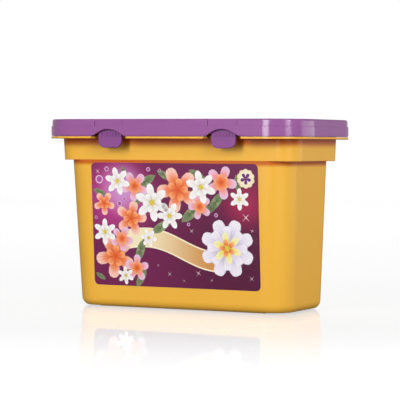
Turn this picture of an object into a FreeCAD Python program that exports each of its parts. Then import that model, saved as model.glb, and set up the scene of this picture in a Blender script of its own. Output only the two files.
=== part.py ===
import FreeCAD, Part
import math
import os

import Sketcher
from FreeCAD import Placement, Rotation, Vector

# Laundry pod tub: a tapered tub with a collar, a flange and a sealing rim, a lid that
# hinges at the back, two latch tabs clipped in the lid, a front label and 20 pods.
# Millimetres, +Z up, front towards -Y, origin at the middle of the foot.

doc = FreeCAD.newDocument("pod_tub")
sheet = doc.addObject("Spreadsheet::Sheet", "sizes")

SIZES = [
    ("overall_width", 180.0, "flange and lid skirt, left to right"),
    ("overall_depth", 94.0, "flange and lid skirt, front to back"),
    ("outline_radius", 24.0, "corners of the flange and the lid"),
    ("lid_top", 117.6, "height of the lid's top edge"),
    ("tier_level", 113.3, "height of the lid's small ledge"),
    ("flange_under", 105.5, "height of the flange's underside"),
    ("flange_thick", 1.4, "flange plate"),
    ("flange_edge", 0.4, "rounding along the flange"),
    ("lid_gap", 0.6, "shut lid above the flange"),
    ("collar_under", 92.2, "height of the collar's step"),
    ("collar_front", 10.9, "flange edge to the collar, front, at the flange"),
    ("collar_side", 7.6, "flange edge to the collar, sides, at the flange"),
    ("collar_back", 11.7, "flange edge to the collar, back, at the flange"),
    ("step_side", 4.8, "collar to body, sides"),
    ("step_back", 2.7, "collar to body, back"),
    ("front_draft", 3.9, "degrees that the front leans out"),
    ("side_draft", 2.1, "degrees that the sides lean out"),
    ("back_draft", 0.3, "degrees that the back leans out"),
    ("body_radius", 16.1, "front corners of the body"),
    ("collar_radius", 12.6, "front corners of the collar"),
    ("back_radius", 11.5, "back corners of the body and the collar"),
    ("corner_sweep", 78.0, "degrees that a front corner turns before its crease"),
    ("crease_radius", 6.0, "rounding of the crease"),
    ("foot_radius", 5.5, "rounding round the foot"),
    ("tub_wall", 1.5, "tub walls"),
    ("base_thick", 2.2, "tub base"),
    ("inner_radius", 4.0, "rounding inside the base"),
    ("plinth_height", 0.6, "low panel under the foot that the tub stands on"),
    ("plinth_inset", 0.4, "rounding of the foot to the panel, front and back"),
    ("rest_gap", 0.15, "rim to the shut lid"),
    ("lid_wall", 1.8, "lid skirt"),
    ("lid_roof", 1.6, "lid top"),
    ("tier_step", 0.6, "upper tier behind the skirt"),
    ("tier_edge", 0.25, "rounding along the small ledge"),
    ("top_edge", 1.2, "rounding of the lid's top edge"),
    ("panel_depth", 0.8, "stacking panel sunk in the lid"),
    ("panel_border", 9.0, "lid edge to its stacking panel"),
    ("plug_gap", 0.5, "plug rib to the rim"),
    ("plug_wall", 1.2, "plug rib"),
    ("plug_depth", 5.0, "plug rib below the lid's roof"),
    ("plug_end", 20.0, "the plug rib stops here, towards the back"),
    ("latch_offset", 39.0, "middle of the lid to the middle of a latch"),
    ("tab_width", 16.4, "latch tab at its root"),
    ("tab_foot_width", 15.6, "latch tab at its foot"),
    ("tab_thick", 1.6, "latch tab"),
    ("tab_inset", 2.6, "skirt's face to the tab's face"),
    ("tab_foot", 99.9, "height of the tab's foot"),
    ("tab_shoulder", 106.0, "height where the tab starts to narrow"),
    ("tab_axis", 112.0, "height of the tab's pin"),
    ("tab_rounding", 4.2, "corners of the tab's foot"),
    ("tab_edge", 0.4, "rounding along the tab"),
    ("pin_radius", 1.0, "latch pin"),
    ("pin_gap", 0.1, "pin or bar in its bore"),
    ("side_gap", 0.3, "a moving piece beside its cheek"),
    ("cheek_wall", 2.5, "cheeks at the latch pins"),
    ("cheek_depth", 3.6, "cheeks, front to back"),
    ("cheek_under", 0.6, "cheek below its bore"),
    ("arch_width", 21.4, "arch in the skirt at each latch"),
    ("arch_slope", 28.0, "degrees that the arch's sides rise"),
    ("arch_radius", 14.0, "crown of the arch"),
    ("arch_edge", 0.4, "rounding along the arch"),
    ("notch_width", 24.4, "notch in the flange at each latch"),
    ("notch_corner", 1.0, "outer corners of the notch"),
    ("ledge", 3.3, "flange left between a notch and the collar"),
    ("bay_width", 20.2, "bay in the upper tier above each latch"),
    ("bay_depth", 1.0, "bay behind the upper tier's face"),
    ("bay_wall", 1.0, "wall behind the bay"),
    ("bay_edge", 0.4, "rounding of the bay's side edges"),
    ("hook_reach", 0.8, "latch hook under the ledge"),
    ("hook_gap", 0.2, "latch hook below the ledge"),
    ("hook_width", 12.0, "latch hook"),
    ("hook_height", 2.8, "latch hook at its root"),
    ("hook_nose", 0.7, "latch hook at its nose"),
    ("rib_count", 7, "grip ribs on a tab"),
    ("rib_pitch", 1.9, "grip ribs apart"),
    ("rib_width", 0.8, "grip rib"),
    ("rib_proud", 0.4, "grip ribs in front of the tab"),
    ("rib_foot", 106.6, "height of the grip ribs' feet"),
    ("rib_height", 3.0, "grip rib"),
    ("hinge_offset", 42.0, "middle of the lid to the middle of a hinge"),
    ("hinge_inset", 1.0, "flange edge to the hinge axis"),
    ("bar_radius", 1.5, "hinge bar of the tub"),
    ("clip_wall", 1.4, "clip of the lid round its bar"),
    ("clip_width", 14.0, "clip, left to right"),
    ("clip_mouth", 2.5, "mouth of the clip"),
    ("clip_neck", 4.0, "clip's neck up the lid's skirt"),
    ("cheek_skin", 0.4, "hinge cheek round its bar"),
    ("clip_clear", 0.7, "clip to the notch in the flange"),
    ("label_width", 115.2, "front label"),
    ("label_foot", 13.9, "height of the label's lower edge"),
    ("label_head", 90.6, "height of the label's upper edge"),
    ("label_radius", 3.0, "label corners"),
    ("label_thick", 0.15, "label film"),
    ("pod_corner", 11.0, "corners of a pod's seam"),
    ("pod_seam", 0.6, "thickness of the seam"),
    ("pod_border", 2.0, "width of the seam"),
    ("pod_share", 0.325, "share of a pod's cushions that is below its seam"),
    ("pod_slope", 6.0, "how far the pod's sides lean in"),
    ("pod_round", 3.5, "rounding of a pod's faces"),
    ("column_gap", 4.0, "space between the columns of pods"),
    ("column_side", 2.4, "tub wall to the columns of pods, at the base"),
    ("row_gap", 3.4, "space between the rows of pods"),
    ("row_side", 1.6, "tub wall to the rows of pods, at the base"),
    ("stack_room", 2.1, "space in front of and behind a stack of pods, together"),
    ("pod_lean", 3.0, "degrees that the pods lean at most"),
    ("pod_twist", 5.0, "degrees that the pods are turned at most"),
    ("pod_tip", 5.0, "degrees that the top pod of a stack is tipped"),
    ("pod_sway", 137.5, "degrees between the sways of a pod and the next one"),
    ("pod_gap", 0.3, "pods from the tub and from each other"),
]


def fill_sheet():
    for row, (alias, value, meaning) in enumerate(SIZES, start=1):
        sheet.set("A%d" % row, alias)
        sheet.set("B%d" % row, str(value))
        sheet.setAlias("B%d" % row, alias)
        sheet.set("C%d" % row, meaning)
    doc.recompute()


fill_sheet()

# Shorthand for the places that several pieces share.
HALF = "sizes.overall_width / 2"
FRONT = "-sizes.overall_depth / 2"
BACK = "sizes.overall_depth / 2"
FLANGE_TOP = "(sizes.flange_under + sizes.flange_thick)"
LID_FOOT = "(sizes.flange_under + sizes.flange_thick + sizes.lid_gap)"
LID_UNDER = "(sizes.lid_top - sizes.panel_depth - sizes.lid_roof)"
RIM_TOP = "(sizes.lid_top - sizes.panel_depth - sizes.lid_roof - sizes.rest_gap)"
TAB_FACE = "(%s + sizes.tab_inset)" % FRONT
TAB_PIN = "(%s + sizes.tab_inset + sizes.tab_thick / 2)" % FRONT
LEDGE_EDGE = "(%s + sizes.collar_front - sizes.ledge)" % FRONT
HINGE_Y = "(%s - sizes.hinge_inset)" % BACK
HINGE_Z = "(%s - sizes.bar_radius)" % FLANGE_TOP
CLIP_BORE = "(sizes.bar_radius + sizes.pin_gap)"
CLIP_RADIUS = "(sizes.bar_radius + sizes.pin_gap + sizes.clip_wall)"


def value(expression):
    """The number that an expression on the sheet gives now."""
    result = sheet.evalExpression(expression)
    return float(getattr(result, "Value", result))


def wall_at(level, inset=0.0, step_side="0", step_back="0"):
    """Half width, front and back of the tub's outside at a height, moved in by inset."""
    fall = "(sizes.flange_under - (%s))" % level
    half = "(%s - sizes.collar_side - %s * tan(sizes.side_draft * 1 deg) - %s - (%s))" % (
        HALF, fall, step_side, inset)
    front = "(%s + sizes.collar_front + %s * tan(sizes.front_draft * 1 deg) + (%s))" % (
        FRONT, fall, inset)
    back = "(%s - sizes.collar_back - %s * tan(sizes.back_draft * 1 deg) - %s - (%s))" % (
        BACK, fall, step_back, inset)
    return half, front, back


BASE_HALF, BASE_FRONT, BASE_BACK = wall_at(
    "sizes.base_thick", "sizes.tub_wall", "sizes.step_side", "sizes.step_back")
BASE_DEPTH = "(%s - %s)" % (BASE_BACK, BASE_FRONT)
POD_WIDTH = "((2 * %s - 2 * sizes.column_side - 2 * sizes.column_gap) / 3)" % BASE_HALF
POD_THICK = "((%s - 2 * sizes.row_side - 2 * sizes.row_gap) / 3)" % BASE_DEPTH
POD_LENGTH = "(%s - %s - sizes.stack_room)" % (BASE_DEPTH, POD_THICK)
POD_DROP = "((%s - sizes.pod_seam) * sizes.pod_share)" % POD_THICK
POD_RISE = "((%s - sizes.pod_seam) * (1 - sizes.pod_share))" % POD_THICK


def new_body(name):
    body = doc.addObject("PartDesign::Body", name)
    body.Label = name
    return body


def plane(body, role):
    return next(f for f in body.Origin.OriginFeatures if f.Role == role)


def new_sketch(body, name, role, offset="0"):
    """A sketch on one of the body's own planes, moved along the plane's normal."""
    sketch = body.newObject("Sketcher::SketchObject", name)
    sketch.AttachmentSupport = (plane(body, role), [""])
    sketch.MapMode = "FlatFace"
    sketch.setExpression("AttachmentOffset.Base.z", offset)
    return sketch


def bind(sketch, constraint, name, expression):
    """Adds a constraint, names it and ties it to the sheet."""
    index = sketch.addConstraint(constraint)
    sketch.renameConstraint(index, name)
    sketch.setExpression("Constraints." + name, expression)


def outline(sketch, tag, half, front, back, front_radius, back_radius, crease=False):
    """A rounded oblong, symmetric left to right. With crease, the two front corners turn
    through corner_sweep, and a tighter arc takes them round to the sides."""
    h, f, b = value(half), value(front), value(back)
    rf, rb = value(front_radius), value(back_radius)
    rc = value("sizes.crease_radius") if crease else 0
    quarter = math.pi / 2
    turn = math.radians(value("sizes.corner_sweep")) if crease else quarter
    across = h - rc - (rf - rc) * math.sin(turn)
    middle_x = across + (rf - rc) * math.sin(turn)
    middle_y = f + rf - (rf - rc) * math.cos(turn)

    def line(x0, y0, x1, y1):
        return Part.LineSegment(Vector(x0, y0, 0), Vector(x1, y1, 0))

    def arc(x, y, radius, start, end):
        return Part.ArcOfCircle(Part.Circle(Vector(x, y, 0), Vector(0, 0, 1), radius), start, end)

    edges = [line(-across, f, across, f), arc(across, f + rf, rf, -quarter, turn - quarter)]
    if crease:
        edges.append(arc(middle_x, middle_y, rc, turn - quarter, 0))
    right = len(edges)
    edges += [
        line(h, middle_y, h, b - rb),
        arc(h - rb, b - rb, rb, 0, quarter),
        line(h - rb, b, -h + rb, b),
        arc(-h + rb, b - rb, rb, quarter, 2 * quarter),
        line(-h, b - rb, -h, middle_y),
    ]
    if crease:
        edges.append(arc(-middle_x, middle_y, rc, 2 * quarter, 3 * quarter - turn))
    left_arc = len(edges)
    edges.append(arc(-across, f + rf, rf, 3 * quarter - turn, 3 * quarter))
    n = len(sketch.Geometry)
    sketch.addGeometry(edges, False)

    start, end, origin, v_axis = 1, 2, -1, -2
    con = Sketcher.Constraint
    for i in range(len(edges)):
        sketch.addConstraint(con("Tangent", n + i, end, n + (i + 1) % len(edges), start))
    sketch.addConstraint(con("Vertical", n + right))
    sketch.addConstraint(con("Symmetric", n, start, n, end, v_axis))
    sketch.addConstraint(con("Symmetric", n + right + 2, start, n + right + 2, end, v_axis))
    sketch.addConstraint(con("Equal", n + 1, n + left_arc))
    sketch.addConstraint(con("Equal", n + right + 1, n + right + 3))
    if crease:
        sketch.addConstraint(con("Equal", n + 2, n + left_arc - 1))
        bind(sketch, con("Radius", n + 2, rc), tag + "_crease", "sizes.crease_radius")
        deep = "%s * (1 - cos(sizes.corner_sweep * 1 deg))" % front_radius
        rise = rf * (1 - math.cos(turn))
        bind(sketch, con("DistanceY", n, end, n + 1, end, rise), tag + "_turn_right", deep)
        bind(sketch, con("DistanceY", n, start, n + left_arc, start, rise),
             tag + "_turn_left", deep)
    bind(sketch, con("DistanceX", origin, 1, n + right, start, h), tag + "_half", half)
    bind(sketch, con("DistanceY", origin, 1, n, start, f), tag + "_front", front)
    bind(sketch, con("DistanceY", origin, 1, n + right + 2, start, b), tag + "_back", back)
    bind(sketch, con("Radius", n + 1, rf), tag + "_front_radius", front_radius)
    bind(sketch, con("Radius", n + right + 1, rb), tag + "_back_radius", back_radius)


def polygon(sketch, tag, points):
    """A closed outline with straight sides; each point is a pair of expressions."""
    n = len(sketch.Geometry)
    places = [Vector(value(x), value(y), 0) for x, y in points]
    count = len(places)
    for i in range(count):
        sketch.addGeometry(Part.LineSegment(places[i], places[(i + 1) % count]), False)
    for i in range(count):
        sketch.addConstraint(Sketcher.Constraint("Coincident", n + i, 2, n + (i + 1) % count, 1))
    for i, (x, y) in enumerate(points):
        name = "%s_%d_" % (tag, i)
        bind(sketch, Sketcher.Constraint("DistanceX", -1, 1, n + i, 1, places[i].x), name + "x", x)
        bind(sketch, Sketcher.Constraint("DistanceY", -1, 1, n + i, 1, places[i].y), name + "y", y)


def oblong(sketch, tag, left, right, low, high):
    polygon(sketch, tag, [(left, low), (right, low), (right, high), (left, high)])


def circle(sketch, tag, x, y, radius):
    n = len(sketch.Geometry)
    middle = Vector(value(x), value(y), 0)
    sketch.addGeometry(Part.Circle(middle, Vector(0, 0, 1), value(radius)), False)
    bind(sketch, Sketcher.Constraint("DistanceX", -1, 1, n, 3, middle.x), tag + "_x", x)
    bind(sketch, Sketcher.Constraint("DistanceY", -1, 1, n, 3, middle.y), tag + "_y", y)
    bind(sketch, Sketcher.Constraint("Radius", n, value(radius)), tag + "_radius", radius)


def extrude(body, kind, name, sketch, length, reverse=False, both_ways=False):
    """A pad or a pocket. A pad follows the sketch's normal and a pocket goes against it."""
    doc.recompute()
    feature = body.newObject("PartDesign::" + kind, name)
    feature.Profile = sketch
    feature.Reversed = reverse
    feature.Midplane = both_ways
    feature.setExpression("Length", length)
    doc.recompute()
    return feature


def loft(body, kind, name, lower, upper):
    doc.recompute()
    feature = body.newObject("PartDesign::" + kind, name)
    feature.Profile = lower
    feature.Sections = [upper]
    feature.Ruled = True
    doc.recompute()
    return feature


def round_edges(body, name, radius, wanted):
    """Rounds the edges of the body's last feature that the test wants."""
    base = body.Tip
    names = ["Edge%d" % (i + 1) for i, edge in enumerate(base.Shape.Edges) if wanted(edge)]
    if not names:
        raise RuntimeError("no edge to round for " + name)
    fillet = body.newObject("PartDesign::Fillet", name)
    fillet.Base = (base, names)
    fillet.setExpression("Radius", radius)
    doc.recompute()
    return fillet


def mirror(body, name, features):
    """Repeats features on the other side of the plane X = 0."""
    twin = body.newObject("PartDesign::Mirrored", name)
    twin.Originals = features
    twin.MirrorPlane = (plane(body, "YZ_Plane"), [""])
    body.Tip = twin
    doc.recompute()
    return twin


def flat_at(level):
    """Test for edges that lie at one height."""
    def test(edge):
        box = edge.BoundBox
        return abs(box.ZMin - level) < NEAR and abs(box.ZMax - level) < NEAR
    return test


def at_edge(edge):
    """Test for edges that reach the outline of the flange and the skirt."""
    box = edge.BoundBox
    half, front, back = value(HALF), value(FRONT), value(BACK)
    return max(-box.XMin, box.XMax) > half - NEAR or box.YMin < front + NEAR or box.YMax > back - NEAR


NEAR = 0.01
PAST = "1"


def make_tub():
    """Injection-moulded tub: body and collar share one leaning front face; the collar
    carries the flange, and the rim stands on inside the lid."""
    body = new_body("tub")

    def ring(name, level, inset, on_body, height="0"):
        side = "sizes.step_side" if on_body else "0"
        back_step = "sizes.step_back" if on_body else "0"
        half, front, back = wall_at(level, inset, side, back_step)
        radius = "sizes.body_radius" if on_body else "sizes.collar_radius"
        sketch = new_sketch(body, name, "XY_Plane", height if height != "0" else level)
        outline(sketch, "plan", half, front, back, "(%s - %s)" % (radius, inset),
                "(sizes.back_radius - %s)" % inset, crease=True)
        return sketch

    wall = "sizes.tub_wall"
    foot = ring("foot_plan", "0", "0", True)
    head = ring("body_head_plan", "sizes.collar_under", "0", True)
    loft(body, "AdditiveLoft", "tapered_body", foot, head)
    low = ring("collar_foot_plan", "sizes.collar_under", "0", False)
    high = ring("collar_head_plan", "sizes.flange_under", "0", False)
    loft(body, "AdditiveLoft", "collar", low, high)

    round_edges(body, "foot_rounding", "sizes.foot_radius", flat_at(0))

    flange = new_sketch(body, "flange_plan", "XY_Plane", "sizes.flange_under")
    outline(flange, "plan", HALF, FRONT, BACK, "sizes.outline_radius", "sizes.outline_radius")
    extrude(body, "Pad", "flange", flange, "sizes.flange_thick")
    notch = new_sketch(body, "latch_notch_plan", "XY_Plane", FLANGE_TOP)
    side = "(sizes.notch_width / 2)"
    oblong(notch, "notch", "sizes.latch_offset - " + side, "sizes.latch_offset + " + side,
           FRONT + " - " + PAST, LEDGE_EDGE)
    latch_notch = extrude(body, "Pocket", "latch_notch", notch, "sizes.flange_thick")
    mirror(body, "latch_notches", [latch_notch])
    round_edges(body, "notch_corners", "sizes.notch_corner",
                lambda edge: edge.BoundBox.YMax < value(FRONT) + NEAR
                and edge.BoundBox.XLength < NEAR)
    levels = [flat_at(value(level)) for level in ("sizes.flange_under", FLANGE_TOP)]
    round_edges(body, "flange_rounding", "sizes.flange_edge",
                lambda edge: any(at(edge) for at in levels) and at_edge(edge))
    rim = ring("rim_plan", "sizes.flange_under", "0", False)
    extrude(body, "Pad", "rim", rim, "%s - sizes.flange_under" % RIM_TOP)

    floor = ring("floor_plan", "sizes.base_thick", wall, True)
    mouth = ring("body_mouth_plan", "sizes.collar_under", wall, True,
                 "sizes.collar_under + sizes.tub_wall")
    loft(body, "SubtractiveLoft", "body_inside", floor, mouth)
    level = value("sizes.base_thick")
    round_edges(body, "floor_rounding", "sizes.inner_radius", flat_at(level))
    step = ring("collar_floor_plan", "sizes.collar_under", wall, False,
                "sizes.collar_under + sizes.tub_wall")
    top = ring("collar_mouth_plan", "sizes.flange_under", wall, False)
    loft(body, "SubtractiveLoft", "collar_inside", step, top)
    bore = ring("rim_mouth_plan", "sizes.flange_under", wall, False)
    extrude(body, "Pocket", "rim_inside", bore, "%s - sizes.flange_under + %s" % (RIM_TOP, PAST),
            reverse=True)

    around = new_sketch(body, "plinth_plan", "XY_Plane")
    oblong(around, "around", "-" + HALF, HALF, FRONT, BACK)
    inset = "(sizes.foot_radius + sizes.plinth_inset)"
    half, front, back = wall_at("0", inset, "sizes.step_side", "sizes.step_back")
    side = "(%s + %s - sizes.body_radius)" % (half, inset)
    oblong(around, "plinth", "-" + side, side, front, back)
    extrude(body, "Pocket", "plinth", around, "sizes.plinth_height", reverse=True)

    tub_hinge(body)
    return body


def tub_hinge(body):
    """Two cheeks and a bar at each hinge, behind a notch that the lid's clip turns in."""
    room = "(sizes.clip_width / 2 + sizes.side_gap)"
    block_half = "(%s + sizes.cheek_wall)" % room
    skin = "(sizes.bar_radius + sizes.cheek_skin)"
    notch_front = "(%s - %s - sizes.clip_clear)" % (HINGE_Y, CLIP_RADIUS)
    section = new_sketch(body, "hinge_section", "YZ_Plane", "sizes.hinge_offset - " + block_half)
    polygon(section, "cheek", [
        (notch_front, FLANGE_TOP),
        (HINGE_Y, FLANGE_TOP),
        ("%s + %s" % (HINGE_Y, skin), "%s + sizes.cheek_skin" % HINGE_Z),
        ("%s + %s" % (HINGE_Y, skin), "%s - sizes.bar_radius / 2" % HINGE_Z),
        ("%s + sizes.bar_radius / 2" % HINGE_Y, "%s - %s" % (HINGE_Z, skin)),
        (notch_front, "%s - %s" % (HINGE_Z, skin)),
    ])
    block = extrude(body, "Pad", "hinge_block", section, "2 * " + block_half)
    plan = new_sketch(body, "hinge_notch_plan", "XY_Plane", FLANGE_TOP)
    oblong(plan, "notch", "sizes.hinge_offset - " + room, "sizes.hinge_offset + " + room,
           notch_front, BACK + " + 2 * " + skin)
    notch = extrude(body, "Pocket", "hinge_notch", plan, "2 * %s + %s" % (skin, PAST))
    circle_plan = new_sketch(body, "bar_section", "YZ_Plane",
                             "sizes.hinge_offset - %s - sizes.cheek_wall / 2" % room)
    circle(circle_plan, "bar", HINGE_Y, HINGE_Z, "sizes.bar_radius")
    bar = extrude(body, "Pad", "hinge_bar", circle_plan, "2 * %s + sizes.cheek_wall" % room)
    mirror(body, "hinges", [block, notch, bar])


def make_lid():
    """Injection-moulded lid: skirt with a small ledge, sunk stacking panel, plug rib,
    an arch and a bay at each latch, and two clips at the back."""
    body = new_body("lid")
    radius = "sizes.outline_radius"
    skirt = new_sketch(body, "skirt_plan", "XY_Plane", LID_FOOT)
    outline(skirt, "plan", HALF, FRONT, BACK, radius, radius)
    extrude(body, "Pad", "skirt", skirt, "sizes.tier_level - " + LID_FOOT)

    def inset_plan(name, height, inset):
        sketch = new_sketch(body, name, "XY_Plane", height)
        outline(sketch, "plan", "(%s - %s)" % (HALF, inset), "(%s + %s)" % (FRONT, inset),
                "(%s - %s)" % (BACK, inset), "(%s - %s)" % (radius, inset),
                "(%s - %s)" % (radius, inset))
        return sketch

    tier = inset_plan("tier_plan", "sizes.tier_level", "sizes.tier_step")
    extrude(body, "Pad", "upper_tier", tier, "sizes.lid_top - sizes.tier_level")
    round_edges(body, "top_rounding", "sizes.top_edge", flat_at(value("sizes.lid_top")))
    at_tier = flat_at(value("sizes.tier_level"))
    round_edges(body, "tier_rounding", "sizes.tier_edge",
                lambda edge: at_tier(edge) and at_edge(edge))
    inside = inset_plan("inside_plan", LID_FOOT, "sizes.lid_wall")
    extrude(body, "Pocket", "lid_inside", inside, "%s - %s" % (LID_UNDER, LID_FOOT), reverse=True)
    panel = inset_plan("panel_plan", "sizes.lid_top", "sizes.panel_border")
    extrude(body, "Pocket", "stacking_panel", panel, "sizes.panel_depth")
    lid_plug(body)
    lid_latches(body)
    lid_clips(body)
    return body


def lid_plug(body):
    """A rib that fits inside the tub's rim, open at the back so that the lid can turn."""
    plug = new_sketch(body, "plug_plan", "XY_Plane", LID_UNDER)
    outer_inset = "(sizes.tub_wall + sizes.plug_gap)"
    for tag, inset in (("outer", outer_inset), ("inner", "(%s + sizes.plug_wall)" % outer_inset)):
        half, front, back = wall_at("sizes.flange_under", inset)
        outline(plug, tag, half, front, back, "(sizes.collar_radius - %s)" % inset,
                "(sizes.back_radius - %s)" % inset, crease=True)
    extrude(body, "Pad", "plug_rib", plug, "sizes.plug_depth", reverse=True)
    half, _, back = wall_at("sizes.flange_under", "0")
    gap = new_sketch(body, "plug_gap_plan", "XY_Plane", LID_UNDER)
    oblong(gap, "gap", "-" + half, half, "sizes.plug_end", back)
    extrude(body, "Pocket", "plug_opening", gap, "sizes.plug_depth + " + PAST)


def arch_outline(sketch, middle):
    """Two sloping sides and a round crown, open at the skirt's foot. Gives the crown's height."""
    half, low = value("sizes.arch_width / 2"), value(LID_FOOT)
    past, radius = value(PAST), value("sizes.arch_radius")
    slope = math.radians(value("sizes.arch_slope"))
    x, reach = value(middle), radius * math.sin(slope)
    spring = low + (half - reach) * math.tan(slope)
    centre = spring - radius * math.cos(slope)
    corners = [
        (x + reach, spring), (x + half, low), (x + half, low - past),
        (x - half, low - past), (x - half, low), (x - reach, spring),
    ]
    places = [Vector(across, height, 0) for across, height in corners]
    sketch.addGeometry([Part.LineSegment(a, b) for a, b in zip(places, places[1:])], False)
    ring = Part.Circle(Vector(x, centre, 0), Vector(0, 0, 1), radius)
    quarter = math.pi / 2
    sketch.addGeometry(Part.ArcOfCircle(ring, quarter - slope, quarter + slope), False)
    start, end, middle_point, origin = 1, 2, 3, -1
    arc = len(places) - 1
    con = Sketcher.Constraint
    for i in range(arc - 1):
        sketch.addConstraint(con("Coincident", i, end, i + 1, start))
    sketch.addConstraint(con("Tangent", 0, start, arc, start))
    sketch.addConstraint(con("Tangent", arc - 1, end, arc, end))
    right, left = middle + " + sizes.arch_width / 2", middle + " - sizes.arch_width / 2"
    below = "%s - %s" % (LID_FOOT, PAST)
    bounds = [(1, right, LID_FOOT), (2, right, below), (3, left, below), (4, left, LID_FOOT)]
    for i, across, height in bounds:
        bind(sketch, con("DistanceX", origin, 1, i, start, places[i].x), "x_%d" % i, across)
        bind(sketch, con("DistanceY", origin, 1, i, start, places[i].y), "y_%d" % i, height)
    side = middle + " + sizes.arch_radius * sin(sizes.arch_slope * 1 deg)"
    bind(sketch, con("Radius", arc, radius), "crown", "sizes.arch_radius")
    bind(sketch, con("DistanceX", origin, 1, arc, middle_point, x), "crown_middle", middle)
    bind(sketch, con("DistanceX", origin, 1, 0, start, x + reach), "crown_side", side)
    return centre + radius


def lid_latches(body):
    """Arch, bay and two pin cheeks at each latch."""
    middle = "sizes.latch_offset"

    def across(half):
        return "%s - %s" % (middle, half), "%s + %s" % (middle, half)

    arch = new_sketch(body, "arch_front", "XZ_Plane", BACK)
    crown = arch_outline(arch, middle)
    arch_cut = extrude(body, "Pocket", "arch", arch, "sizes.lid_wall")
    mirror(body, "arches", [arch_cut])

    def arch_side(edge):
        box = edge.BoundBox
        above_foot = box.ZMax > value(LID_FOOT) + NEAR and box.ZMax < crown + NEAR
        return above_foot and box.YMax < value(FRONT) + NEAR

    round_edges(body, "arch_rounding", "sizes.arch_edge", arch_side)

    backing = new_sketch(body, "backing_plan", "XY_Plane", LID_UNDER)
    left, right = across("(sizes.bay_width / 2 + sizes.bay_wall)")
    bay_back = "%s + sizes.tier_step + sizes.bay_depth" % FRONT
    oblong(backing, "backing", left, right, bay_back, bay_back + " + sizes.bay_wall")
    backing_pad = extrude(body, "Pad", "bay_backing", backing,
                          "%s - sizes.tier_level" % LID_UNDER, reverse=True)
    bay = new_sketch(body, "bay_plan", "XY_Plane", "sizes.lid_top")
    left, right = across("sizes.bay_width / 2")
    oblong(bay, "bay", left, right, FRONT + " - " + PAST, bay_back)
    bay_cut = extrude(body, "Pocket", "bay", bay, "sizes.lid_top - sizes.tier_level")

    near = "(sizes.tab_width / 2 + sizes.side_gap)"
    far = "(%s + sizes.cheek_wall)" % near
    face = "%s + sizes.lid_wall" % FRONT
    low = "(sizes.tab_axis - sizes.pin_radius - sizes.pin_gap - sizes.cheek_under)"
    cheeks = new_sketch(body, "cheek_plan", "XY_Plane", LID_UNDER)
    for tag, sign in (("left", "-"), ("right", "+")):
        ends = sorted(["%s %s %s" % (middle, sign, near), "%s %s %s" % (middle, sign, far)],
                      key=value)
        oblong(cheeks, tag, ends[0], ends[1], face, face + " + sizes.cheek_depth")
    cheek_pad = extrude(body, "Pad", "latch_cheeks", cheeks, "%s - %s" % (LID_UNDER, low),
                        reverse=True)
    bore = new_sketch(body, "pin_bore_section", "YZ_Plane", "%s - %s - %s" % (middle, far, PAST))
    circle(bore, "bore", TAB_PIN, "sizes.tab_axis", "(sizes.pin_radius + sizes.pin_gap)")
    bore_cut = extrude(body, "Pocket", "pin_bore", bore, "2 * (%s + %s)" % (far, PAST),
                       reverse=True)
    mirror(body, "latch_seats", [backing_pad, bay_cut, cheek_pad, bore_cut])
    tier_face = value(FRONT + " + sizes.tier_step")
    round_edges(body, "bay_rounding", "sizes.bay_edge",
                lambda edge: abs(edge.BoundBox.YMin - tier_face) < NEAR
                and edge.BoundBox.YLength < NEAR
                and edge.BoundBox.XLength < NEAR)


def lid_clips(body):
    """Two clips that snap on the tub's hinge bars, each on a neck down the rear skirt."""
    start = "sizes.hinge_offset - sizes.clip_width / 2"
    disc = new_sketch(body, "clip_section", "YZ_Plane", start)
    circle(disc, "clip", HINGE_Y, HINGE_Z, CLIP_RADIUS)
    disc_pad = extrude(body, "Pad", "clip", disc, "sizes.clip_width")
    neck = new_sketch(body, "neck_section", "YZ_Plane", start)
    skin = "%s - sizes.tier_step" % BACK
    outside = "%s + %s" % (HINGE_Y, CLIP_RADIUS)
    polygon(neck, "neck", [
        (skin, HINGE_Z),
        (outside, HINGE_Z),
        (outside, LID_FOOT),
        (skin, "%s + sizes.clip_neck" % LID_FOOT),
    ])
    neck_pad = extrude(body, "Pad", "clip_neck", neck, "sizes.clip_width")
    bore = new_sketch(body, "clip_bore_section", "YZ_Plane", start)
    circle(bore, "bore", HINGE_Y, HINGE_Z, CLIP_BORE)
    bore_cut = extrude(body, "Pocket", "clip_bore", bore, "sizes.clip_width", reverse=True)
    mouth = new_sketch(body, "clip_mouth_section", "YZ_Plane", start)
    oblong(mouth, "mouth", HINGE_Y + " - sizes.clip_mouth / 2", HINGE_Y + " + sizes.clip_mouth / 2",
           "%s - %s - %s" % (HINGE_Z, CLIP_RADIUS, PAST), HINGE_Z)
    mouth_cut = extrude(body, "Pocket", "clip_opening", mouth, "sizes.clip_width", reverse=True)
    mirror(body, "clips", [disc_pad, neck_pad, bore_cut, mouth_cut])


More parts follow.
